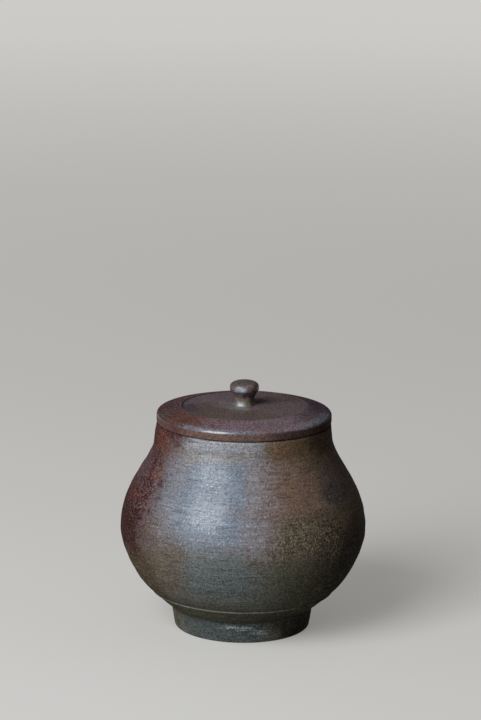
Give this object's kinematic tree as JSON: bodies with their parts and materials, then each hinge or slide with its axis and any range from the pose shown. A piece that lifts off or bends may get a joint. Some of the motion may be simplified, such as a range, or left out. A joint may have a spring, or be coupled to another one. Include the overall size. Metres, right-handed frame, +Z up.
{
  "type": "tea canister",
  "caption": "Small round-bellied stoneware tea canister on a foot ring, with a lift-off lid that has a sunk panel, a locating flange and a waisted knob.",
  "frame": {"origin": "centre of the foot ring, on the surface that the canister stands on", "axes": "+Z up along the axis of turning; -Y faces the picture's camera; +X to the right"},
  "size_m": [0.1, 0.1, 0.1025],
  "materials": {
    "jar_clay": "unglazed wood-fired stoneware with fly ash and flashing",
    "foot_clay": "unglazed stoneware, ash-grey",
    "lid_clay": "unglazed red-brown flashed stoneware, satin",
    "flange_clay": "bare stoneware",
    "knob_clay": "red-brown stoneware with a light ash gloss"
  },
  "bodies": {
    "jar": {"jar_body": "jar_clay", "foot_ring": "foot_clay"},
    "lid": {"lid_plate": "lid_clay", "lid_flange": "flange_clay", "knob": "knob_clay"}
  },
  "joints": [
    {"name": "lid_lift", "type": "slide", "parent": "jar", "child": "lid", "axis": [0, 0, 1], "range_m": [0, 0.06]}
  ]
}
